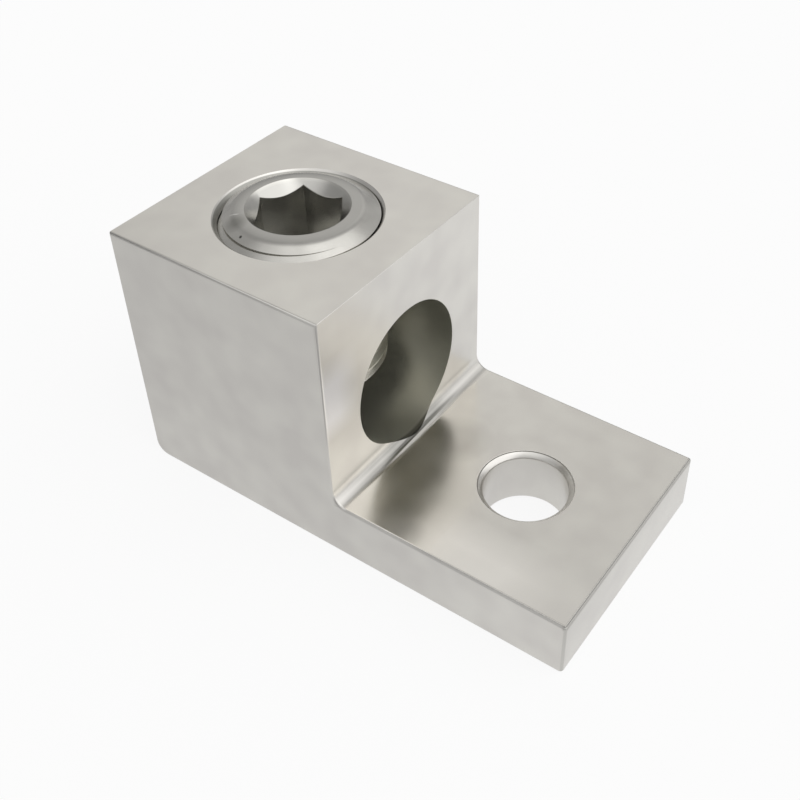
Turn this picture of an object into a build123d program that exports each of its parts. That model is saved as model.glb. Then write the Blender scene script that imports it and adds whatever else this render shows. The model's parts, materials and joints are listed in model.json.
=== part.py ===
from build123d import *
import math
import os

# A mechanical lug: an extruded aluminium block and tongue that clamps one stranded conductor
# under a hex-socket set screw and bolts down through a stud hole.
# Lengths are in millimetres and angles in degrees. The origin is on the axis of the stud hole,
# level with the underside, which is the face that carries the current.
# +X points to the free end of the tongue, +Y to the left seen from the wire's end, and +Z up.

# The extrusion, cut to the lug's width
lug_width = 25.4
lug_length = 51.1
block_length = 25.15
block_height = 28.55
tongue_thickness = 6.6
heel_radius = 1.5
block_edge_radius = 0.15
tongue_tip_top_radius = 0.3
tongue_tip_bottom_radius = 0.4
junction_radius = 1.5
cut_side_edge_radius = 0.35

# The conductor's bore, which runs through the block just above the tongue
conductor_bore_diameter = 15.4
bore_above_tongue = 0.13

# The stud hole, countersunk on both faces of the tongue
stud_diameter = 7.94
stud_hole_clearance = 0.28
stud_hole_countersink = 0.55
stud_to_tongue_end = 11.9

# The set screw's shank and the tapped hole that it runs in
screw_diameter = 15.88
screw_length = 18.1
screw_tip_chamfer = 0.4
thread_clearance = 0.05
tapped_hole_countersink = 0.41
tapped_hole_above_bore_floor = 3.0

# The set screw's domed head end: a nearly flat land round the socket, a slope outside it,
# and a small chamfer where the slope meets the thread
crown_above_block = 0.85
land_diameter = 12.7
land_fall = 0.15
slope_fall = 0.7
shoulder_width = 0.12
shoulder_height = 0.12

# The hex socket, which opens through a steep cone and so has a scalloped rim
key_size = 7.94
key_clearance = 0.03
socket_depth = 8.3
socket_mouth_diameter = 10.3
socket_mouth_angle = 90.0
socket_floor_angle = 140.0
socket_turn = 4.4

# Places that follow from the sizes
tongue_end_x = stud_to_tongue_end
rear_face_x = tongue_end_x - lug_length
front_face_x = rear_face_x + block_length
screw_axis_x = (rear_face_x + front_face_x) / 2
bore_radius = conductor_bore_diameter / 2
bore_floor_z = tongue_thickness + bore_above_tongue
bore_axis_z = bore_floor_z + bore_radius
screw_top_z = block_height + crown_above_block
screw_tip_z = screw_top_z - screw_length
overcut = 1.0


def side_profile():
    """The L-shaped outline of the extrusion, seen from the side, as a face in the XZ plane."""
    corners = [
        (rear_face_x, 0),
        (tongue_end_x, 0),
        (tongue_end_x, tongue_thickness),
        (front_face_x, tongue_thickness),
        (front_face_x, block_height),
        (rear_face_x, block_height),
    ]
    radii = [
        heel_radius,
        tongue_tip_bottom_radius,
        tongue_tip_top_radius,
        junction_radius,
        block_edge_radius,
        block_edge_radius,
    ]
    outline = FilletPolyline(*corners, radius=radii, close=True)
    return Plane.XZ * make_face(outline)


def extruded_blank():
    """The extrusion cut to width, with the edges of both cut sides rounded over."""
    blank = extrude(side_profile(), amount=lug_width / 2, both=True)
    cut_sides = blank.faces().filter_by(Axis.Y)
    return fillet(cut_sides.edges(), cut_side_edge_radius)


def upright_cylinder(radius, bottom, top):
    """A cylinder about the Z axis between two levels."""
    rod = Cylinder(radius, top - bottom, align=(Align.CENTER, Align.CENTER, Align.MIN))
    return Pos(0, 0, bottom) * rod


def upright_cone(bottom_radius, top_radius, bottom, top):
    """A cone or a cut-off cone about the Z axis between two levels."""
    cone = Cone(bottom_radius, top_radius, top - bottom, align=(Align.CENTER, Align.CENTER, Align.MIN))
    return Pos(0, 0, bottom) * cone


def conductor_bore_cut():
    """The drill's path from the rear face to the end of the junction fillet, which it nicks."""
    start_x = rear_face_x - overcut
    end_x = front_face_x + junction_radius
    drill = Cylinder(
        bore_radius,
        end_x - start_x,
        rotation=(0, 90, 0),
        align=(Align.CENTER, Align.CENTER, Align.MIN),
    )
    return Pos(start_x, 0, bore_axis_z) * drill


def tapped_hole_cut():
    """The tapped hole from the top down into the sides of the bore, and its countersink."""
    radius = screw_diameter / 2 + thread_clearance
    floor_z = bore_floor_z + tapped_hole_above_bore_floor
    hole = upright_cylinder(radius, floor_z, block_height + overcut)
    countersink = upright_cone(
        radius,
        radius + tapped_hole_countersink,
        block_height - tapped_hole_countersink,
        block_height,
    )
    return Pos(screw_axis_x, 0, 0) * (hole + countersink)


def stud_hole_cut():
    """The stud's clearance hole with a countersink at each face of the tongue."""
    radius = stud_diameter / 2 + stud_hole_clearance
    rim_radius = radius + stud_hole_countersink
    hole = upright_cylinder(radius, -overcut, tongue_thickness + overcut)
    top = upright_cone(radius, rim_radius, tongue_thickness - stud_hole_countersink, tongue_thickness)
    bottom = upright_cone(rim_radius, radius, 0, stud_hole_countersink)
    return hole + top + bottom


def make_lug_body():
    """The block and tongue in one piece, with its three machined holes."""
    return extruded_blank() - conductor_bore_cut() - tapped_hole_cut() - stud_hole_cut()


def screw_blank():
    """The screw as turned: a chamfered flat tip, a plain shank and a domed top with a shoulder."""
    radius = screw_diameter / 2
    land_edge_z = screw_top_z - land_fall
    shoulder_z = land_edge_z - slope_fall
    outline = Polyline(
        (0, screw_tip_z),
        (radius - screw_tip_chamfer, screw_tip_z),
        (radius, screw_tip_z + screw_tip_chamfer),
        (radius, shoulder_z - shoulder_height),
        (radius - shoulder_width, shoulder_z),
        (land_diameter / 2, land_edge_z),
        (socket_mouth_diameter / 2, screw_top_z),
        (0, screw_top_z),
        close=True,
    )
    return revolve(Plane.XZ * make_face(outline), Axis.Z)


def hex_socket_cut():
    """The key's socket: a hexagon with a cone at its mouth and a shallow cone for its floor."""
    flat_radius = key_size / 2 + key_clearance
    floor_z = screw_top_z - socket_depth
    hexagon = RegularPolygon(flat_radius, 6, major_radius=False, rotation=socket_turn)
    prism = Pos(0, 0, floor_z) * extrude(hexagon, amount=socket_depth + overcut)
    mouth_radius = socket_mouth_diameter / 2
    mouth_depth = mouth_radius / math.tan(math.radians(socket_mouth_angle / 2))
    mouth = upright_cone(0, mouth_radius, screw_top_z - mouth_depth, screw_top_z)
    point_depth = flat_radius / math.tan(math.radians(socket_floor_angle / 2))
    point = upright_cone(0, flat_radius, floor_z - point_depth, floor_z)
    return prism + mouth + point


def make_set_screw():
    """The set screw at the height where it clamps in the photograph, with its thread left plain."""
    return Pos(screw_axis_x, 0, 0) * (screw_blank() - hex_socket_cut())


os.makedirs("parts", exist_ok=True)
export_step(make_lug_body(), "parts/lug_body.step")
export_step(make_set_screw(), "parts/set_screw.step")
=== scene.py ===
import json
import math
from types import SimpleNamespace

import bmesh
import bpy
from mathutils import Matrix, Vector


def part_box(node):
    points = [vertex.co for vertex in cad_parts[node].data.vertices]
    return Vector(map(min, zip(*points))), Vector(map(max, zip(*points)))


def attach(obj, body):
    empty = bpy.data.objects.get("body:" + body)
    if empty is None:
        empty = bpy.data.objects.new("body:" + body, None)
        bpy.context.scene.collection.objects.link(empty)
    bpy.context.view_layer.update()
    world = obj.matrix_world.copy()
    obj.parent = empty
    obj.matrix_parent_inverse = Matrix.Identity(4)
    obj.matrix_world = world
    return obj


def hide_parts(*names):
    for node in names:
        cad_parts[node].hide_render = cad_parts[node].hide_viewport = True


# The dressed model of the mechanical lug: a tin-plated aluminium body, bored, tapped and
# countersunk, and its hex-socket set screw with a real right-hand thread.
# Lengths in the script are in metres and are written as millimetres times MM. The materials of
# the body and the screw measure in millimetres, as do all names that end in _mm.

MM = 0.001

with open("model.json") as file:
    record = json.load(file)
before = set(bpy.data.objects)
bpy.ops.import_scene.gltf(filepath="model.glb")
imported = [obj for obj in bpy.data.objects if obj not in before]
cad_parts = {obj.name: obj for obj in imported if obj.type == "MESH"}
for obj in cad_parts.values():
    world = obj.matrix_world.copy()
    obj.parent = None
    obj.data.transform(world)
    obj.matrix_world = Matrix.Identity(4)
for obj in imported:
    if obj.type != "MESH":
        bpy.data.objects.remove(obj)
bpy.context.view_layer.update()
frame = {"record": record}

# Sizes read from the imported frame
body_low, body_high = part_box("lug_body")
screw_low, screw_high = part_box("set_screw")
mounts = {mount["name"]: mount for mount in frame["record"]["mounts"]}
rear_x = body_low[0]
tip_x = body_high[0]
half_width = body_high[1]
block_top = body_high[2]
bore_radius = mounts["conductor_bore"]["dims"]["r_mm"] * MM
bore_axis_z = mounts["conductor_bore"]["pos_m"][2]
front_x = rear_x + mounts["conductor_bore"]["dims"]["length_mm"] * MM
tongue_top = 2 * mounts["stud_hole"]["pos_m"][2]
stud_radius = mounts["stud_hole"]["dims"]["r_mm"] * MM
stud_wall = mounts["stud_hole"]["dims"]["length_mm"] * MM
screw_x = mounts["key_socket"]["pos_m"][0]
screw_radius = (screw_high[1] - screw_low[1]) / 2
screw_top = screw_high[2]
screw_tip = screw_low[2]

# The body's rounded edges
heel_radius = 1.5 * MM
junction_radius = 1.5 * MM
block_edge_radius = 0.05 * MM
tongue_tip_top_radius = 0.3 * MM
tongue_tip_bottom_radius = 0.4 * MM
cut_side_edge_radius = 0.35 * MM
cut_side_edge_steps = 5
arc_step = math.radians(11.25)
fewest_arc_steps = 3

# The bore and the stud hole, whose edges are just broken. A broken edge bulges towards its
# corner, and its middle lies this share of its width from where the corner would be.
mouth_edge = 0.1 * MM
stud_rim_edge = 0.06 * MM
edge_bulge = 0.3
bore_segments = 180
stud_hole_segments = 128

# The 5/8 in thread with 18 turns to the inch
thread_pitch = 25.4 / 18 * MM
thread_depth = 0.43 * thread_pitch
flank_slope = 1 / math.tan(math.radians(30))
crest_half_width = thread_pitch / 16
thread_clearance = 0.05 * MM
thread_flank_gap = 0.1 * MM
thread_columns = 144
flank_steps = 4
spare_turns = 3
hole_crest_radius = screw_radius - thread_depth + 2 * thread_flank_gap
tapped_hole_rim_radius = 8.35 * MM
tapped_hole_floor = bore_axis_z - bore_radius + 3.0 * MM
thread_runout = 0.5 * MM

# The set screw's domed top and its chamfered tip
land_radius = 6.35 * MM
land_fall = 0.15 * MM
slope_fall = 0.9 * MM
slope_steps = 4
bend_half_width = 0.30 * MM
bend_steps = 6
screw_tip_chamfer = 0.4 * MM
dome_edge_z = screw_top - land_fall - slope_fall
thread_emerges = math.radians(-15)
thread_start_z = dome_edge_z - crest_half_width - thread_pitch * thread_emerges / math.tau
thread_end_step = 0.005 * MM

# The hex socket, with its steep cone at the mouth and its shallow cone for a floor
socket_mouth_radius = 5.15 * MM
socket_mouth_edge = 0.06 * MM
socket_flat_radius = 4.0 * MM
socket_turn = math.radians(4.4)
socket_edge = 0.07 * MM
socket_floor_z = screw_top - 8.3 * MM
socket_wall_row = 0.5 * MM
socket_floor_angle = math.radians(140)
socket_point_z = socket_floor_z - socket_flat_radius / math.tan(socket_floor_angle / 2)
socket_point_radius = 0.2 * MM

# How far a cutter reaches past the face that it opens, and other sizes of the mesh alone
overcut = 1.0 * MM
tap_overcut = 0.3 * MM
flat_end_radius = 1.0 * MM
weld_distance = 0.0005 * MM
bore_wall_tolerance = 0.004 * MM
sharp_angle = math.radians(32)

# The photograph's view
camera_place = Vector((37.94, -67.92, 87.88)) * MM
camera_azimuth = math.radians(34.0)
camera_elevation = math.radians(39.575)
camera_roll = math.radians(0.2)
camera_lens_mm = 51.02
camera_film_mm = 36.0
camera_shift = (-0.075, -0.0625)
camera_clip = 0.005

# The studio: how bright its walls, lights and floor look in the metal, where 1 is white.
# A light is a direction, the angles at which it is full and gone, and what it adds.
wall_level = 0.50
horizon_level = -0.20
horizon_height = 0.30
studio_lights = [
    ((0.75, 0.18, 0.62), 26, 52, 0.90),
    ((0.10, -0.45, 0.90), 15, 45, 0.49),
    ((-0.46, 0.66, 0.60), 5, 26, 0.36),
    ((-0.73, -0.44, 0.40), 20, 60, -0.12),
    ((-0.45, -0.85, 0.10), 8, 30, 0.20),
]

# The floor's level in the metal is a sum of steps. A step is a direction, the two places along
# it, in metres, between which the level changes, and the level at each.
floor_half_width = 3.0
floor_paper = (0.9, 0.9, 0.9, 1)
floor_glow = 0.88
floor_steps = [
    ((0.56, 0.83, 0), (-0.04, 0.05), (0.70, 0.92)),
    ((0.80, -0.60, 0), (0.02, 0.07), (0.0, -0.35)),
    ((1, 0, 0), (-0.035, -0.060), (0.02, -0.02)),
    ((1, 0, 0), (-0.010, 0.010), (0.0, 0.07)),
    ((1, 0, 0), (0.0125, 0.0165), (0.0, -0.10)),
]

# Planes in which the materials measure distances
level_plane = (1, 1, 0)
cross_plane = (0, 1, 1)

# Places on the body in millimetres
front_mm = front_x / MM
tip_mm = tip_x / MM
tongue_mm = tongue_top / MM
block_top_mm = block_top / MM
bore_mm = bore_radius / MM
bore_axis_mm = (0, 0, bore_axis_z / MM)
tap_floor_mm = tapped_hole_floor / MM
tap_shade_axis_mm = (screw_x / MM - 0.10, -0.07, 0)
junction_line_mm = front_mm + 0.9
junction_line_skew = 0.022

# Spans on the body. A mark's mask is 0 at a span's first value and 1 at its second, or goes
# from the third value to the fourth. Names end in what is measured: x, y or z in millimetres,
# a distance, or how squarely the surface faces along an axis.
mottle_span = (0.3, 0.7)
side_facing_y = (0.8, 0.95)
top_facing_z = (0.93, 0.98)
bored_distance = (bore_mm + 0.05, bore_mm + 0.02)
bored_x = (front_mm + 0.3, front_mm - 0.1)
# Painted shade in the gap between the screw and the tapped hole
tapped_distance = (8.20, 8.13)
tapped_top_z = (block_top_mm - 0.10, block_top_mm - 0.16)
tapped_floor_z = (tap_floor_mm - 0.2, tap_floor_mm - 0.1)
# Where the tongue's top is darker, fading out towards its tip
worn_start_x = (front_mm + 1.0, front_mm + 2.0)
worn_end_x = (tip_mm - 1.0, tip_mm - 9.0)
worn_facing_z = (0.8, 0.95)
tongue_face_x = (front_mm + 1.2, front_mm + 1.5)
# Patches of painted light on the tongue's top: one near its near edge, and one by the block that trims the
# bore mouth's dark reflection
rubbed_y = (-6.0, -10.0)
rubbed_start_x = (-9.0, -5.5)
rubbed_end_x = (10.0, 4.0, 0.4, 1.0)
by_block_x = (-8.0, -10.5)
by_block_y = (4.5, 2.0, 0.0, 0.6)
# Painted light on the near, lower part of the block's front face
near_front_facing_x = (0.93, 0.98)
near_front_x = (front_mm + 0.3, front_mm + 0.1)
near_front_top_z = (24.0, 21.0)
near_front_bottom_z = (14.5, 17.0)
near_front_y = (-7.5, -10.5)
over_tongue_z = (tongue_mm - 0.08, tongue_mm - 0.02)
low_z = (tongue_mm + 0.4, tongue_mm + 0.3)
# A painted dark line of shade along the junction fillet
line_distance = (0.14, 0.04)
line_start_y = (-6.5, -3.0)
line_end_y = (3.0, 8.0, 1.0, 0.1)
ridge_rear_side = (-0.24, 0.16)
ridge_tip_side = (0.72, 0.16)
# Painted shade in the corner between block and tongue, streaked with die lines
corner_start_x = (front_mm + 0.05, front_mm + 0.35)
corner_end_x = (front_mm + 1.3, front_mm + 1.0)
corner_z = (tongue_mm + 1.5, tongue_mm + 1.2)
corner_near_y = (-12.0, -7.0, 0.35, 1.0)
corner_far_y = (4.0, 7.5, 1.0, 0.5)
die_lines_span = (0.35, 0.65)
# Painted shade on the corner by the bore's nick
by_nick_y = (5.5, 3.5)
by_nick_line = (0.05, -0.05)
# Painted shade on the top and upright rounded edges at the tongue's end
tip_edge_x = (tip_mm - 0.5, tip_mm - 0.25)
tip_edge_z = (tongue_mm - 0.6, tongue_mm - 0.2)
tip_edge_facing_z = (0.995, 0.94)
upright_facing_y = (0.15, 0.4)
upright_facing_x = (0.15, 0.4)
upright_x = (tip_mm - 1.0, tip_mm - 0.5)
# A painted highlight on the side of the stud hole's rim that faces the block
stud_rim_inner_distance = (4.26, 4.32)
stud_rim_outer_distance = (5.0, 4.9)
stud_rim_facing_z = (0.93, 0.85)
stud_rim_x = (1.5, 3.0)
tongue_rise_x = (front_mm + 1.5, front_mm + 11.0)

# The body's colours. A pair is the darker and the lighter tone of a mottled or lined tin. Tones noted as
# painted stand in for light or shade.
tin_tones = ((0.675, 0.655, 0.625, 1), (0.75, 0.734, 0.695, 1))
# Darker tones for the tongue's top
worn_tones = ((0.635, 0.615, 0.585, 1), (0.70, 0.684, 0.647, 1))
# Painted shade for the corner: a darker and a lighter die-line tone
corner_tones = ((0.40, 0.39, 0.365, 1), (0.50, 0.488, 0.46, 1))
# Painted light: the tone of the tongue's lighter patches
rubbed_tone = (0.86, 0.838, 0.80, 1)
# A painted warm tint of the light on upward faces
top_tint = (1.01, 1.0, 0.975)
# Painted light: the lighter tone of the block's front near its near side
near_front_tone = (0.86, 0.855, 0.875, 1)
# Painted shade: the tone of the dark line along the fillet
line_tone = (0.30, 0.30, 0.28, 1)
# Painted shade: the tone by the bore's nick
nick_tone = (0.19, 0.19, 0.175, 1)
# Painted shade: the tones of the tongue tip's top and upright edges
tip_edge_tone = (0.54, 0.528, 0.50, 1)
upright_tone = (0.60, 0.59, 0.56, 1)
# Painted shade: the tone of the tapped hole's gap
tapped_tone = (0.35, 0.345, 0.32, 1)
bored_tone = (0.60, 0.597, 0.53, 1)
# Painted highlight: the stud hole rim's bright tone
stud_rim_tone = (0.90, 0.88, 0.84, 1)
faint = 0.35

# Darkening on the tongue: a place, a radius in millimetres and how dark, where 1 leaves it as it is. The
# first is painted shade that widens the bore mouth's dark reflection; the second is a smudge.
tongue_smudges = [
    ((-9.0, 1.8, 0), 3.6, 0.80),
    ((-6.0, -11.6, 0), 2.0, 0.86),
]
smudge_core = 0.4

# The body's noises, in features to the millimetre, the detail and roughness of the soft ones,
# and how deep its relief is
soft_noise = (1.0, 0.4)
mottle_scale = (0.30, 0.30, 0.30)
waviness_scale = (0.16, 0.16, 0.16)
streaks_scale = (4.0, 0.15, 4.0)
boring_scale = (5.0, 0.3, 0.3)
die_lines_scale = 3.0
waviness_depth = 0.020 * MM
tongue_rise_depth = 0.12 * MM
ridge_depth = 0.09 * MM
streaks_depth = 0.0010 * MM
boring_depth = 0.008 * MM

# The body's roughness, and what each mark adds to it
body_roughness_range = (0.285, 0.33)
tongue_roughness = -0.062
stud_rim_roughness = 0.25
tip_edge_roughness = 0.2
side_roughness = 0.04
bored_roughness = 0.09

# The screw's spans, measured in millimetres from its axis or as heights
screw_top_mm = screw_top / MM
mouth_mm = socket_mouth_radius / MM
socket_distance = (mouth_mm, mouth_mm - 0.3)
socket_z = (screw_top_mm - 0.9, screw_top_mm - 2.0)
socket_deep_z = (screw_top_mm - 3.5, screw_top_mm - 6.5)
dome_distance = ((socket_mouth_radius - socket_mouth_edge) / MM, mouth_mm)
slope_distance = ((land_radius - bend_half_width) / MM, (land_radius + bend_half_width) / MM)

# The screw's colours, in pairs as on the body
screw_tones = ((0.62, 0.605, 0.566, 1), (0.69, 0.675, 0.633, 1))
# Painted shade: the darker tone of the screw's land
land_tone = (0.43, 0.42, 0.392, 1)
mouth_tone = (0.57, 0.56, 0.53, 1)
# Painted shade: the socket's tones, darker towards its bottom
socket_tones = ((0.62, 0.612, 0.575, 1), (0.53, 0.524, 0.495, 1))
screw_smudge_place = (-3.1, -5.4, 0)
screw_smudge_distance = (1.4, 0.4)
screw_smudge_tint = (0.66, 0.66, 0.65)
pit_place = (-1.30, -6.70, 0)
pit_distance = (0.18, 0.09)
pit_tone = (0.10, 0.10, 0.09, 1)
scratch_ends = ((-4.49, -4.82, 0), (-3.71, -4.28, 0))
scratch_distance = (0.975, 0.955, 0.0, 0.6)
scratch_tone = (0.80, 0.79, 0.75, 1)

# The screw's noises, relief, roughness and the grain that turning leaves
screw_mottle_scale = (0.5, 0.5, 0.5)
screw_mottle_detail = 3.0
turning_scale = 5.0
screw_mottle_depth = 0.008 * MM
turning_depth = 0.0015 * MM
screw_roughness_range = (0.20, 0.25)
turned_grain = 0.6
grain_turn = 0.25


def new_piece(name, mesh):
    """An object that holds a mesh, linked to the scene."""
    piece = bpy.data.objects.new(name, mesh)
    bpy.context.scene.collection.objects.link(piece)
    return piece


def mesh_from(name, points, faces):
    """A mesh from points and faces, with doubled points welded and its normals turned outwards."""
    mesh = bpy.data.meshes.new(name)
    mesh.from_pydata(points, [], faces)
    shell = bmesh.new()
    shell.from_mesh(mesh)
    bmesh.ops.remove_doubles(shell, verts=shell.verts, dist=weld_distance)
    bmesh.ops.recalc_face_normals(shell, faces=shell.faces)
    shell.to_mesh(mesh)
    shell.free()
    return mesh


def tube_faces(rings, count, first=0):
    """Faces that join each ring of points to the next, where a ring has count points."""
    faces = []
    for ring in range(rings - 1):
        low = first + ring * count
        high = low + count
        for index in range(count):
            after = (index + 1) % count
            faces.append([low + index, low + after, high + after, high + index])
    return faces


def closed_tube_faces(rings, count):
    """The faces of a tube of rings and of its two ends."""
    near_end = list(range(count))
    far_end = list(range((rings - 1) * count, rings * count))
    return [near_end, far_end] + tube_faces(rings, count)


def rounded_outline(corners):
    """Points round an outline given as (x, z, radius) corners."""
    points = []
    for index, (x, z, radius) in enumerate(corners):
        corner = Vector((x, z))
        before = Vector(corners[index - 1][:2]) - corner
        after = Vector(corners[(index + 1) % len(corners)][:2]) - corner
        before.normalize()
        after.normalize()
        half_angle = before.angle(after) / 2
        inward = (before + after).normalized()
        centre = corner + inward * radius / math.sin(half_angle)
        turn = math.pi - 2 * half_angle
        steps = max(fewest_arc_steps, round(turn / arc_step))
        sense = 1 if before.cross(after) < 0 else -1
        for step in range(steps + 1):
            spoke = Matrix.Rotation((step / steps - 0.5) * turn * sense, 2) @ -inward
            points.append(centre + spoke * radius)
    return points


def inset_corners(corners, inset):
    """The corners of the same outline drawn a little way inside it."""
    moved = []
    for index, (x, z, radius) in enumerate(corners):
        before = corners[index - 1]
        after = corners[(index + 1) % len(corners)]
        way_in = Vector((x - before[0], z - before[1])).normalized()
        way_out = Vector((after[0] - x, after[1] - z)).normalized()
        outward = Vector((way_in.y + way_out.y, -way_in.x - way_out.x))
        convex = way_in.cross(way_out) > 0
        inner_radius = max(radius - inset, 0.0) if convex else radius + inset
        moved.append((x - outward.x * inset, z - outward.y * inset, inner_radius))
    return moved


def extrusion(name, corners):
    """An outline in XZ extruded to the lug's width, with the edges of its cut sides rounded over."""
    stations = []
    for step in range(cut_side_edge_steps + 1):
        angle = math.pi / 2 * step / cut_side_edge_steps
        y = -half_width + cut_side_edge_radius * (1 - math.cos(angle))
        stations.append((y, cut_side_edge_radius * (1 - math.sin(angle))))
    stations += [(-y, inset) for y, inset in reversed(stations)]
    points = []
    for y, inset in stations:
        outline = rounded_outline(inset_corners(corners, inset))
        points += [(at.x, y, at.y) for at in outline]
    return mesh_from(name, points, closed_tube_faces(len(stations), len(outline)))


def turned(name, profile, segments, place=(0, 0, 0), along_x=False):
    """A closed turned solid from (radius, height) points, about a line along Z or X."""
    points = []
    for radius, height in profile:
        for step in range(segments):
            angle = math.tau * step / segments
            spoke = (radius * math.cos(angle), radius * math.sin(angle))
            local = (height, *spoke) if along_x else (*spoke, height)
            points.append(tuple(a + b for a, b in zip(local, place)))
    return mesh_from(name, points, closed_tube_faces(len(profile), segments))


def flank_fall(angle, height):
    """How far the surface has fallen from the nearest crest of the screw's thread."""
    turns = (height - thread_start_z) / thread_pitch - angle / math.tau
    part = turns - math.floor(turns)
    from_crest = min(part, 1 - part) * thread_pitch
    return max(0.0, from_crest - crest_half_width) * flank_slope


def tapped_radius(angle, height):
    """The tapped hole's radius: a thread that leaves a small gap round the screw's, a countersink
    at the top, and a run-out at the bottom."""
    groove = screw_radius + thread_flank_gap - flank_fall(angle, height)
    thread = min(screw_radius + thread_clearance, max(groove, hole_crest_radius))
    cut = min(1.0, max(0.0, (height - tapped_hole_floor) / thread_runout))
    countersink = tapped_hole_rim_radius - (block_top - height)
    return max(hole_crest_radius + (thread - hole_crest_radius) * cut, countersink)


def shank_radius(angle, height):
    """The radius of the screw's threaded shank, with the chamfer at its tip."""
    thread = screw_radius - min(flank_fall(angle, height), thread_depth)
    tip_chamfer = screw_radius - screw_tip_chamfer + (height - screw_tip)
    return min(thread, tip_chamfer)


def thread_rows():
    """Heights within one turn, as parts of the pitch, at which the thread's surface has points."""
    crest = crest_half_width / thread_pitch
    root = crest + thread_depth / flank_slope / thread_pitch
    flank = [crest + (root - crest) * step / flank_steps for step in range(flank_steps + 1)]
    middle_of_root = 0.5
    return flank + [middle_of_root] + [1 - part for part in reversed(flank)]


def column_angles():
    """The directions of the thread's columns, six of which meet the socket's corners."""
    return [math.tau * column / thread_columns + socket_turn for column in range(thread_columns)]


def screw_point(radius, angle, height):
    """A point at a distance from the screw's axis, in a direction."""
    return (screw_x + radius * math.cos(angle), radius * math.sin(angle), height)


def helical_wall(radius_at, low, high_at):
    """Points and faces of an upright wall whose rows follow the thread from a level up to a rim."""
    rows = thread_rows()
    per_turn = len(rows)
    highest = max(high_at(angle) for angle in column_angles())
    count = (math.ceil((highest - low) / thread_pitch) + spare_turns) * per_turn
    first = thread_start_z + (math.floor((low - thread_start_z) / thread_pitch) - 1) * thread_pitch
    points = []
    for angle in column_angles():
        rise = thread_pitch * angle / math.tau
        high = high_at(angle)
        for row in range(count):
            height = first + rise + (row // per_turn + rows[row % per_turn]) * thread_pitch
            height = min(max(height, low), high)
            points.append(screw_point(radius_at(angle, height), angle, height))
    return points, helical_faces(count, per_turn)


def helical_faces(count, per_turn):
    """Faces that join columns of count points, the last to the first one turn further up."""
    faces = []
    for column in range(thread_columns):
        last = column == thread_columns - 1
        here = column * count
        there = per_turn if last else here + count
        for row in range(count - 1 - (per_turn if last else 0)):
            faces.append([here + row, there + row, there + row + 1, here + row + 1])
    return faces


def stacked_rings(points, faces, rings):
    """Adds rings of points, given as functions of the direction, joins them and closes the last."""
    start = len(points)
    for radius_at, height_at in rings:
        points += [screw_point(radius_at(angle), angle, height_at(angle)) for angle in column_angles()]
    faces += tube_faces(len(rings), thread_columns, start)
    faces.append(list(range(len(points) - thread_columns, len(points))))


def steady(value):
    """A ring's radius or height that is the same all round."""
    return lambda angle: value


def hexagon_radius(angle):
    """The distance from the axis to the socket's wall in one direction."""
    sixth = math.tau / 6
    from_flat = (angle - socket_turn) % sixth - sixth / 2
    return socket_flat_radius / math.cos(from_flat)


def dome_height(radius):
    """The height of the screw's domed top: a nearly flat land, a bend and the slope outside it."""
    land_slope = land_fall / (land_radius - socket_mouth_radius)
    outer_slope = slope_fall / (screw_radius - land_radius)
    past_bend = min(max((radius - land_radius) / bend_half_width, -1.0), 1.0)
    bend = (outer_slope - land_slope) * bend_half_width * (past_bend + 1) ** 2 / 4
    on_slope = max(0.0, radius - land_radius - bend_half_width)
    drop = land_slope * (radius - socket_mouth_radius) + bend + (outer_slope - land_slope) * on_slope
    return screw_top - drop


def thread_end(angle):
    """The height at which the thread's outline, followed upwards, meets the dome."""
    height = dome_edge_z
    while height < dome_height(shank_radius(angle, height)):
        height += thread_end_step
    return height


def dome_edge_radius(angle):
    """The dome's outer radius, where the thread cuts into it."""
    return shank_radius(angle, thread_end(angle))


def slope_ring(part):
    """A ring on the dome's slope, from 0 at its edge to 1 at the bend."""
    def radius_at(angle):
        edge = dome_edge_radius(angle)
        return edge + (land_radius + bend_half_width - edge) * part

    return radius_at, lambda angle: dome_height(radius_at(angle))


def crown_rings():
    """The screw's top face, from the thread's end over the dome and into the socket."""
    rings = [(dome_edge_radius, thread_end)]
    rings += [slope_ring(step / slope_steps) for step in range(1, slope_steps + 1)]
    for step in range(1, bend_steps + 1):
        radius = land_radius + bend_half_width * (1 - 2 * step / bend_steps)
        rings.append((steady(radius), steady(dome_height(radius))))
    rim = socket_mouth_radius + socket_mouth_edge
    rings.append((steady(rim), steady(dome_height(rim))))
    for inset in (edge_bulge * socket_mouth_edge, socket_mouth_edge):
        rings.append((steady(socket_mouth_radius - inset), steady(screw_top - inset)))
    return rings


def cone_ring(outset, drop, cone_outset):
    """A ring near the socket's scalloped rim, where its mouth's cone meets the hexagon."""
    def height_at(angle):
        return screw_top - (socket_mouth_radius - (hexagon_radius(angle) + cone_outset)) - drop

    return lambda angle: hexagon_radius(angle) + outset, height_at


def socket_rings():
    """The socket's scalloped rim, with its edge just broken, its hexagonal wall and its floor."""
    return [
        cone_ring(socket_edge, 0.0, socket_edge),
        cone_ring(edge_bulge * socket_edge, 0.0, 0.0),
        cone_ring(0.0, socket_edge, 0.0),
        (hexagon_radius, steady(socket_floor_z + socket_wall_row)),
        (hexagon_radius, steady(socket_floor_z)),
        (steady(socket_flat_radius), steady(socket_floor_z)),
        (steady(socket_point_radius), steady(socket_point_z)),
    ]


def flat_end(radius_at, height):
    """Two rings that carry the end of a wall inwards, to be closed by a flat face."""
    rim = (lambda angle: radius_at(angle, height), steady(height))
    return [rim, (steady(flat_end_radius), steady(height))]


def screw_mesh():
    """The set screw: threaded shank, flat chamfered tip, domed top and hex socket."""
    points, faces = helical_wall(shank_radius, screw_tip, thread_end)
    stacked_rings(points, faces, crown_rings() + socket_rings())
    stacked_rings(points, faces, flat_end(shank_radius, screw_tip))
    return mesh_from("set_screw_skin", points, faces)


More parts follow.
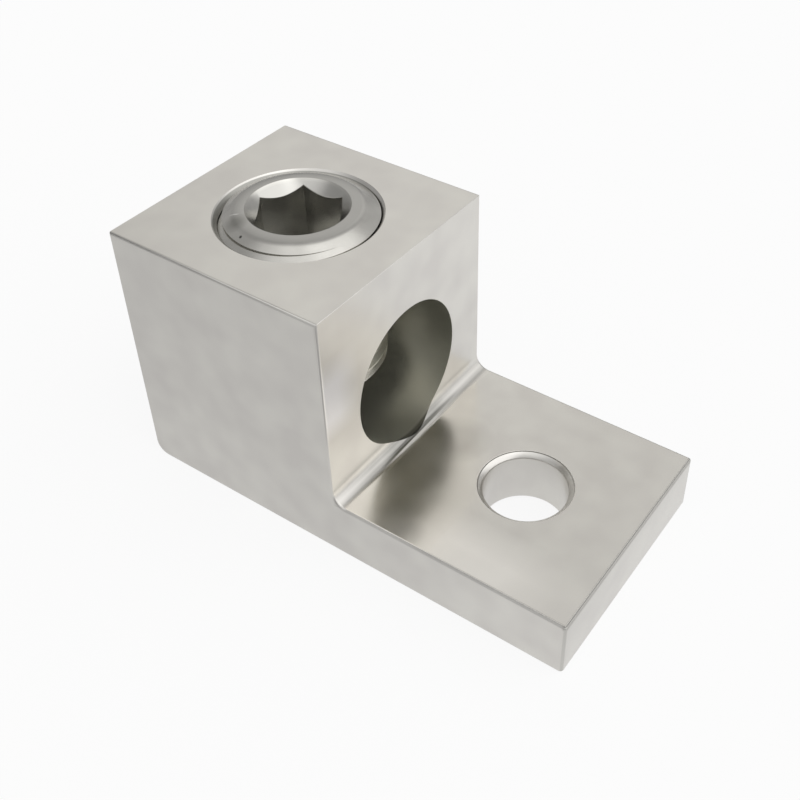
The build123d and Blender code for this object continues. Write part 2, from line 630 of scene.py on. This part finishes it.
def tapped_hole_cutter():
    """The space of the tapped hole, a little longer than the hole at its top."""
    top = block_top + tap_overcut
    points, faces = helical_wall(tapped_radius, tapped_hole_floor, steady(top))
    for height in (tapped_hole_floor, top):
        stacked_rings(points, faces, flat_end(tapped_radius, height))
    return mesh_from("tapped_hole", points, faces)


def conductor_bore_cutter():
    """The drill's path from behind the rear face to the end of the junction fillet."""
    profile = [
        (bore_radius + mouth_edge + overcut, rear_x - overcut),
        (bore_radius + mouth_edge, rear_x),
        (bore_radius + edge_bulge * mouth_edge, rear_x + edge_bulge * mouth_edge),
        (bore_radius, rear_x + mouth_edge),
        (bore_radius, front_x + junction_radius),
    ]
    return turned("conductor_bore", profile, bore_segments, place=(0, 0, bore_axis_z), along_x=True)


def stud_hole_cutter():
    """The stud's hole with a countersink at each face, their edges just broken."""
    depth = (tongue_top - stud_wall) / 2
    edge = stud_rim_edge
    rim = stud_radius + depth
    profile = [
        (rim + overcut, tongue_top + overcut),
        (rim + edge, tongue_top + 0.2 * edge),
        (rim - edge, tongue_top - 1.2 * edge),
        (stud_radius + edge, tongue_top - depth + edge),
        (stud_radius, tongue_top - depth - 1.5 * edge),
    ]
    profile += [(radius, tongue_top - height) for radius, height in reversed(profile)]
    return turned("stud_hole", profile, stud_hole_segments)


def cut_away(piece, cutter_mesh):
    """Takes a closed cutter's volume out of a piece."""
    cutter = new_piece("cutter", cutter_mesh)
    cut = piece.modifiers.new("cut", "BOOLEAN")
    cut.operation = "DIFFERENCE"
    cut.solver = "EXACT"
    cut.object = cutter
    evaluated = piece.evaluated_get(bpy.context.evaluated_depsgraph_get())
    mesh = bpy.data.meshes.new_from_object(evaluated)
    piece.modifiers.clear()
    piece.data = mesh
    bpy.data.objects.remove(cutter)


def shade(piece):
    """Smooth shading that keeps flat faces flat and real edges crisp."""
    piece.data.shade_smooth()
    piece.data.set_sharp_from_angle(angle=sharp_angle)
    weighted = piece.modifiers.new("flat faces stay flat", "WEIGHTED_NORMAL")
    weighted.keep_sharp = True


def crisp_bore_rim(piece):
    """Marks the bore wall's border as a crisp edge, also where it meets the corner at a shallow angle."""
    mesh = piece.data

    def on_wall(face):
        corners = [mesh.vertices[index].co for index in face.vertices]
        offsets = [math.hypot(at.y, at.z - bore_axis_z) - bore_radius for at in corners]
        return max(abs(offset) for offset in offsets) < bore_wall_tolerance

    wall_sides = {}
    for face in mesh.polygons:
        wall = on_wall(face)
        for edge in face.edge_keys:
            wall_sides.setdefault(edge, set()).add(wall)
    for edge in mesh.edges:
        if len(wall_sides.get(edge.key, ())) == 2:
            edge.use_edge_sharp = True


def make_body():
    """The lug's body: the rounded extrusion with its three machined holes."""
    corners = [
        (rear_x, 0, heel_radius),
        (tip_x, 0, tongue_tip_bottom_radius),
        (tip_x, tongue_top, tongue_tip_top_radius),
        (front_x, tongue_top, junction_radius),
        (front_x, block_top, block_edge_radius),
        (rear_x, block_top, block_edge_radius),
    ]
    body = new_piece("tinned_lug_body", extrusion("lug_body_skin", corners))
    cut_away(body, conductor_bore_cutter())
    cut_away(body, tapped_hole_cutter())
    cut_away(body, stud_hole_cutter())
    shade(body)
    crisp_bore_rim(body)
    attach(body, "lug")
    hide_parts("lug_body")
    body.data.materials.clear()
    body.data.materials.append(tinned_body_material())


def make_screw():
    """The set screw, at the height where the photograph shows it."""
    screw = new_piece("tinned_set_screw", screw_mesh())
    shade(screw)
    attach(screw, "screw")
    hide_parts("set_screw")
    screw.data.materials.append(tinned_screw_material())


class Nodes:
    """Builds a node tree with short calls."""

    def __init__(self, tree):
        self.tree = tree
        tree.nodes.clear()

    def add(self, kind, inputs=None, **settings):
        """A new node with its settings and its inputs, which are values or other nodes' outputs."""
        node = self.tree.nodes.new(kind)
        for name, value in settings.items():
            setattr(node, name, value)
        for key, value in (inputs or {}).items():
            if isinstance(value, bpy.types.NodeSocket):
                self.tree.links.new(value, node.inputs[key])
            else:
                node.inputs[key].default_value = value
        return node

    def maths(self, operation, first, second=0.0):
        """The result of a sum on one or two values."""
        return self.add("ShaderNodeMath", {0: first, 1: second}, operation=operation).outputs[0]

    def product(self, first, *others):
        """Values multiplied together."""
        for other in others:
            first = self.maths("MULTIPLY", first, other)
        return first

    def mask(self, *spans):
        """The product of spans, each given as a value and the values between which it goes from 0 to 1."""
        return self.product(*[self.spread(*span) for span in spans])

    def vectors(self, operation, first, second):
        """The outputs of a sum on two vectors."""
        return self.add("ShaderNodeVectorMath", {0: first, 1: second}, operation=operation).outputs

    def stretched(self, vector, scale):
        """A vector scaled by a different amount along each axis."""
        return self.vectors("MULTIPLY", vector, scale)["Vector"]

    def reach(self, vector, direction):
        """How far a vector reaches in a direction."""
        return self.vectors("DOT_PRODUCT", vector, direction)["Value"]

    def distance(self, point, plane, centre):
        """How far a point is from another, both laid flat in a plane such as (1, 1, 0)."""
        return self.vectors("DISTANCE", self.stretched(point, plane), centre)["Value"]

    def split(self, vector):
        """A vector's three parts."""
        return self.add("ShaderNodeSeparateXYZ", {0: vector}).outputs

    def noise(self, vector, detail=2.0, roughness=0.5):
        """Noise between 0 and 1 whose features are about one unit of the vector across."""
        inputs = {"Vector": vector, "Scale": 1.0, "Detail": detail, "Roughness": roughness}
        return self.add("ShaderNodeTexNoise", inputs).outputs["Fac"]

    def line_noise(self, value, scale):
        """Noise that changes along one value alone, and so draws lines."""
        along = self.add("ShaderNodeCombineXYZ", {0: self.maths("MULTIPLY", value, scale)})
        return self.noise(along.outputs[0])

    def spread(self, value, from_low, from_high, to_low=0.0, to_high=1.0):
        """A value carried from one range to another and held within it."""
        inputs = {
            "Value": value,
            "From Min": from_low,
            "From Max": from_high,
            "To Min": to_low,
            "To Max": to_high,
        }
        return self.add("ShaderNodeMapRange", inputs).outputs["Result"]

    def blend(self, amount, first, second):
        """A colour between two others."""
        return self.add("ShaderNodeMix", {0: amount, 6: first, 7: second}, data_type="RGBA").outputs[2]

    def mixed(self, amount, first, second):
        """A value between two others."""
        return self.add("ShaderNodeMix", {0: amount, 2: first, 3: second}, data_type="FLOAT").outputs[0]

    def bump(self, height, depth, normal=None):
        """A normal tilted by a height between 0 and 1 that stands for a real depth."""
        inputs = {"Height": height, "Distance": depth, "Strength": 1.0}
        if normal is not None:
            inputs["Normal"] = normal
        return self.add("ShaderNodeBump", inputs).outputs["Normal"]


def new_material(name):
    """A material and its nodes, of which there are none yet."""
    material = bpy.data.materials.new(name)
    material.use_nodes = True
    return material, Nodes(material.node_tree)


def new_metal(name):
    """A material, its nodes, and where a point of its surface lies, in millimetres."""
    material, nodes = new_material(name)
    place = nodes.add("ShaderNodeTexCoord").outputs["Object"]
    return material, nodes, nodes.stretched(place, (1 / MM, 1 / MM, 1 / MM))


def finish_metal(nodes, inputs):
    """Ends a material as bare metal with the given inputs to its shader."""
    shader = nodes.add("ShaderNodeBsdfPrincipled", {"Metallic": 1.0, **inputs})
    nodes.add("ShaderNodeOutputMaterial", {"Surface": shader.outputs[0]})


def add_hole_masks(nodes, at, masks):
    """The bore's wall, the painted shade in the tapped hole, and the painted highlight on the side of the
    stud hole's rim that faces the block.
    """
    from_bore = nodes.distance(at.point, cross_plane, bore_axis_mm)
    masks.bored = nodes.mask((from_bore, *bored_distance), (at.x, *bored_x))
    from_screw = nodes.distance(at.point, level_plane, tap_shade_axis_mm)
    masks.tapped = nodes.mask(
        (from_screw, *tapped_distance),
        (at.z, *tapped_top_z),
        (at.z, *tapped_floor_z),
    )
    from_stud = nodes.distance(at.point, level_plane, (0, 0, 0))
    masks.stud_rim = nodes.mask(
        (from_stud, *stud_rim_inner_distance),
        (from_stud, *stud_rim_outer_distance),
        (at.facing_z, *stud_rim_facing_z),
        (at.x, *stud_rim_x),
    )


def add_face_masks(nodes, at, masks):
    """The tongue's top with its darker part and its patches of painted light, and the near part of the
    block's front, which gets painted light.
    """
    masks.faces_up = nodes.mask((at.facing_z, *top_facing_z))
    masks.worn = nodes.mask(
        (at.x, *worn_start_x),
        (at.facing_z, *worn_facing_z),
        (at.x, *worn_end_x),
    )
    masks.tongue = nodes.product(masks.faces_up, nodes.mask((at.x, *tongue_face_x)))
    rubbed = nodes.mask((at.y, *rubbed_y), (at.x, *rubbed_start_x), (at.x, *rubbed_end_x))
    masks.rubbed = nodes.product(masks.tongue, rubbed)
    by_block = nodes.mask((at.x, *by_block_x), (at.y, *by_block_y))
    masks.by_block = nodes.product(masks.tongue, by_block)
    masks.near_front = nodes.mask(
        (at.facing_x, *near_front_facing_x),
        (at.z, *near_front_top_z),
        (at.x, *near_front_x),
        (at.z, *near_front_bottom_z),
        (at.y, *near_front_y),
    )


def add_corner_masks(nodes, at, masks):
    """The corner between block and tongue, which gets painted shade, with the painted dark line and the
    ridge that run along it and the painted shade by the bore's nick.
    """
    skew = nodes.maths("MULTIPLY", at.y, junction_line_skew)
    from_line = nodes.maths("ADD", nodes.maths("SUBTRACT", at.x, junction_line_mm), skew)
    over_tongue = nodes.mask((at.z, *over_tongue_z))
    masks.low = nodes.product(nodes.mask((at.z, *low_z)), over_tongue)
    line_length = nodes.mask((at.y, *line_start_y), (at.y, *line_end_y))
    line = nodes.mask((nodes.maths("ABSOLUTE", from_line), *line_distance))
    masks.line = nodes.product(line, masks.low, line_length)
    rear_side = nodes.spread(from_line, *ridge_rear_side)
    ridge = nodes.maths("MINIMUM", rear_side, nodes.spread(from_line, *ridge_tip_side))
    masks.ridge = nodes.product(ridge, masks.low, line_length)
    corner = nodes.mask((at.x, *corner_start_x), (at.x, *corner_end_x), (at.z, *corner_z))
    along = nodes.mask((at.y, *corner_near_y), (at.y, *corner_far_y))
    masks.corner = nodes.product(corner, over_tongue, along)
    off_middle = nodes.maths("ABSOLUTE", at.y)
    by_nick = nodes.mask((off_middle, *by_nick_y), (from_line, *by_nick_line))
    masks.by_nick = nodes.product(by_nick, masks.corner)


def add_edge_masks(nodes, at, masks):
    """The cut sides, and the top and upright edges at the tongue's end, which get painted shade."""
    facing_side = nodes.maths("ABSOLUTE", at.facing_y)
    masks.side = nodes.mask((facing_side, *side_facing_y))
    masks.tip_edge = nodes.mask(
        (at.x, *tip_edge_x),
        (at.z, *tip_edge_z),
        (at.facing_z, *tip_edge_facing_z),
    )
    masks.upright_edge = nodes.mask(
        (facing_side, *upright_facing_y),
        (at.facing_x, *upright_facing_x),
        (at.x, *upright_x),
    )


def body_colour(nodes, at, masks):
    """The body's mottled tin with its marks, and its painted light and shade, laid over it one after the
    other.
    """
    colour = nodes.blend(masks.mottle, *tin_tones)
    # The tongue's top is darker, fading out towards its tip
    colour = nodes.blend(masks.worn, colour, nodes.blend(masks.mottle, *worn_tones))
    # Painted light: lighter patches on the tongue's top
    colour = nodes.blend(masks.rubbed, colour, rubbed_tone)
    colour = nodes.blend(masks.by_block, colour, rubbed_tone)
    # Painted shade for the first darkening, a smudge for the second
    for place, radius, tint in tongue_smudges:
        from_smudge = nodes.distance(at.point, level_plane, place)
        smudge = nodes.product(nodes.spread(from_smudge, radius, smudge_core * radius), masks.tongue)
        colour = nodes.blend(smudge, colour, nodes.stretched(colour, (tint, tint, tint)))
    # Painted light: a warm tint on upward faces
    colour = nodes.blend(masks.faces_up, colour, nodes.stretched(colour, top_tint))
    # Painted light on the near part of the block's front
    colour = nodes.blend(masks.near_front, colour, near_front_tone)
    # Painted shade in the corner, streaked with die lines
    die_lines = nodes.line_noise(nodes.maths("SUBTRACT", at.x, at.z), die_lines_scale)
    dull = nodes.blend(nodes.spread(die_lines, *die_lines_span), *corner_tones)
    colour = nodes.blend(masks.corner, colour, dull)
    # Painted shade: a dark line along the junction fillet
    colour = nodes.blend(nodes.product(masks.line, faint), colour, line_tone)
    # Painted shade by the bore's nick
    colour = nodes.blend(nodes.product(masks.by_nick, faint), colour, nick_tone)
    # Painted shade on the tongue tip's top and upright edges
    colour = nodes.blend(masks.tip_edge, colour, tip_edge_tone)
    colour = nodes.blend(masks.upright_edge, colour, upright_tone)
    # Painted shade in the tapped hole round the screw
    colour = nodes.blend(masks.tapped, colour, tapped_tone)
    colour = nodes.blend(masks.bored, colour, bored_tone)
    # Painted highlight on the stud hole's rim
    return nodes.blend(masks.stud_rim, colour, stud_rim_tone)


def body_roughness(nodes, masks):
    """The body's roughness, which varies with the mottle and changes at some of the marks."""
    roughness = nodes.spread(masks.mottle, 0.0, 1.0, *body_roughness_range)
    changes = [
        (masks.tongue, tongue_roughness),
        (masks.stud_rim, stud_rim_roughness),
        (masks.tip_edge, tip_edge_roughness),
        (masks.side, side_roughness),
        (masks.bored, bored_roughness),
    ]
    for mask, change in changes:
        roughness = nodes.maths("ADD", roughness, nodes.product(mask, change))
    return roughness


def body_relief(nodes, at, masks):
    """The body's fine relief: waves, the tongue's shallow rise, the ridge, streaks and bored rings."""
    waviness = nodes.noise(nodes.stretched(at.point, waviness_scale), *soft_noise)
    tongue_rise = nodes.product(nodes.mask((at.x, *tongue_rise_x)), masks.low)
    streaks = nodes.noise(nodes.stretched(at.point, streaks_scale))
    boring = nodes.product(nodes.noise(nodes.stretched(at.point, boring_scale)), masks.bored)
    normal = nodes.bump(waviness, waviness_depth)
    normal = nodes.bump(tongue_rise, tongue_rise_depth, normal)
    normal = nodes.bump(masks.ridge, ridge_depth, normal)
    normal = nodes.bump(streaks, streaks_depth, normal)
    return nodes.bump(boring, boring_depth, normal)


def tinned_body_material():
    """Tin plating over a tumbled extrusion: satin, faintly mottled, darker in the drilled bore."""
    material, nodes, point = new_metal("tin_over_extrusion")
    x, y, z = nodes.split(point)
    facing_x, facing_y, facing_z = nodes.split(nodes.add("ShaderNodeTexCoord").outputs["Normal"])
    at = SimpleNamespace(point=point, x=x, y=y, z=z, facing_x=facing_x, facing_y=facing_y, facing_z=facing_z)
    mottle = nodes.noise(nodes.stretched(point, mottle_scale), *soft_noise)
    masks = SimpleNamespace(mottle=nodes.spread(mottle, *mottle_span))
    add_hole_masks(nodes, at, masks)
    add_face_masks(nodes, at, masks)
    add_corner_masks(nodes, at, masks)
    add_edge_masks(nodes, at, masks)
    finish_metal(nodes, {
        "Base Color": body_colour(nodes, at, masks),
        "Roughness": body_roughness(nodes, masks),
        "Normal": body_relief(nodes, at, masks),
    })
    return material


def screw_colour(nodes, centred, from_axis, mottled):
    """The screw's tin, with painted shade on the land, duller in the socket's mouth, darker deeper in the
    socket as painted shade, and with the marks of handling.
    """
    height = nodes.split(centred)["Z"]
    in_socket = nodes.spread(from_axis, *socket_distance)
    on_dome = nodes.spread(from_axis, *dome_distance)
    on_land = nodes.maths("SUBTRACT", on_dome, nodes.spread(from_axis, *slope_distance))
    colour = nodes.blend(mottled, *screw_tones)
    # Painted shade on the land
    colour = nodes.blend(on_land, colour, land_tone)
    colour = nodes.blend(in_socket, colour, mouth_tone)
    colour = screw_marks(nodes, centred, colour)
    # Painted shade, darker towards the socket's bottom
    deep_tone = nodes.blend(nodes.spread(height, *socket_deep_z), *socket_tones)
    deep = nodes.product(in_socket, nodes.spread(height, *socket_z))
    return nodes.blend(deep, colour, deep_tone)


def screw_marks(nodes, centred, colour):
    """The smudge, the pit and the scratch on the screw's head, laid over a colour."""
    from_smudge = nodes.distance(centred, level_plane, screw_smudge_place)
    smudged = nodes.stretched(colour, screw_smudge_tint)
    colour = nodes.blend(nodes.spread(from_smudge, *screw_smudge_distance), colour, smudged)
    from_pit = nodes.distance(centred, level_plane, pit_place)
    colour = nodes.blend(nodes.spread(from_pit, *pit_distance), colour, pit_tone)
    from_ends = [nodes.distance(centred, level_plane, end) for end in scratch_ends]
    scratch = nodes.spread(nodes.maths("ADD", *from_ends), *scratch_distance)
    return nodes.blend(scratch, colour, scratch_tone)


def tinned_screw_material():
    """Bright tin plating over turned aluminium, with fine turning rings and marks of handling."""
    material, nodes, point = new_metal("tin_over_turned_screw")
    centred = nodes.vectors("SUBTRACT", point, (screw_x / MM, 0, 0))["Vector"]
    from_axis = nodes.distance(centred, level_plane, (0, 0, 0))
    mottle = nodes.noise(nodes.stretched(centred, screw_mottle_scale), screw_mottle_detail)
    mottled = nodes.spread(mottle, *mottle_span)
    turning = nodes.line_noise(from_axis, turning_scale)
    normal = nodes.bump(turning, turning_depth, nodes.bump(mottle, screw_mottle_depth))
    round_the_axis = nodes.add("ShaderNodeTangent", direction_type="RADIAL", axis="Z").outputs[0]
    finish_metal(nodes, {
        "Base Color": screw_colour(nodes, centred, from_axis, mottled),
        "Roughness": nodes.spread(mottle, *mottle_span, *screw_roughness_range),
        "Anisotropic": turned_grain,
        "Anisotropic Rotation": grain_turn,
        "Tangent": round_the_axis,
        "Normal": normal,
    })
    return material


def make_floor():
    """A plain white floor that keeps the object's soft shadow and looks a little darker in the metal."""
    size = floor_half_width
    corners = [(-size, -size, 0), (size, -size, 0), (size, size, 0), (-size, size, 0)]
    floor = new_piece("floor", mesh_from("floor", corners, [[0, 1, 2, 3]]))
    material, nodes = new_material("white_paper")
    rays = nodes.add("ShaderNodeLightPath").outputs
    place = nodes.add("ShaderNodeTexCoord").outputs["Object"]
    mirrored = 0.0
    for direction, ends, levels in floor_steps:
        step = nodes.spread(nodes.reach(place, direction), *ends, *levels)
        mirrored = nodes.maths("ADD", mirrored, step)
    level = nodes.mixed(rays["Is Glossy Ray"], 1.0, mirrored)
    paper = nodes.add("ShaderNodeBsdfDiffuse", {"Color": floor_paper})
    glow = nodes.add("ShaderNodeEmission", {"Color": (1, 1, 1, 1), "Strength": level})
    seen = nodes.maths("MAXIMUM", rays["Is Camera Ray"], rays["Is Glossy Ray"])
    seen = nodes.maths("MAXIMUM", seen, rays["Is Transmission Ray"])
    amount = nodes.product(seen, floor_glow)
    surface = nodes.add("ShaderNodeMixShader", {0: amount, 1: paper.outputs[0], 2: glow.outputs[0]})
    nodes.add("ShaderNodeOutputMaterial", {"Surface": surface.outputs[0]})
    floor.data.materials.append(material)


def soft_light(nodes, direction, towards, inner, outer):
    """How far a direction lies inside a soft round light, from 0 outside it to 1 in its middle."""
    closeness = nodes.reach(direction, tuple(Vector(towards).normalized()))
    inputs = {
        "Value": closeness,
        "From Min": math.cos(math.radians(outer)),
        "From Max": math.cos(math.radians(inner)),
    }
    return nodes.add("ShaderNodeMapRange", inputs, interpolation_type="SMOOTHSTEP").outputs["Result"]


def make_world():
    """A studio: white to the camera, and in the metal grey walls with soft lights among them."""
    world = bpy.data.worlds.new("white_studio")
    bpy.context.scene.world = world
    world.use_nodes = True
    nodes = Nodes(world.node_tree)
    rays = nodes.add("ShaderNodeLightPath").outputs
    direction = nodes.add("ShaderNodeTexCoord").outputs["Generated"]
    height = nodes.split(direction)["Z"]
    level = nodes.spread(height, 0.0, horizon_height, wall_level + horizon_level, wall_level)
    for towards, inner, outer, brightness in studio_lights:
        light = nodes.product(soft_light(nodes, direction, towards, inner, outer), brightness)
        level = nodes.maths("ADD", level, light)
    seen_white = nodes.maths("MAXIMUM", rays["Is Camera Ray"], rays["Is Transmission Ray"])
    strength = nodes.mixed(seen_white, level, 1.0)
    sky = nodes.add("ShaderNodeBackground", {"Color": (1, 1, 1, 1), "Strength": strength})
    nodes.add("ShaderNodeOutputWorld", {"Surface": sky.outputs[0]})


def make_camera():
    """The camera at the photograph's place, angle and lens."""
    data = bpy.data.cameras.new("camera")
    data.sensor_width = camera_film_mm
    data.lens = camera_lens_mm
    data.shift_x, data.shift_y = camera_shift
    data.clip_start = camera_clip
    camera = bpy.data.objects.new("camera", data)
    bpy.context.scene.collection.objects.link(camera)
    level = math.cos(camera_elevation)
    across, away = math.sin(camera_azimuth), math.cos(camera_azimuth)
    back = Vector((across * level, -away * level, math.sin(camera_elevation)))
    right = Vector((away, across, 0))
    up = back.cross(right)
    turn = Matrix((right, up, back)).transposed().to_4x4()
    camera.matrix_world = Matrix.Translation(camera_place) @ turn @ Matrix.Rotation(camera_roll, 4, "Z")
    bpy.context.scene.camera = camera


make_camera()
make_body()
make_screw()
make_floor()
make_world()

bpy.context.scene.view_settings.view_transform = "Standard"
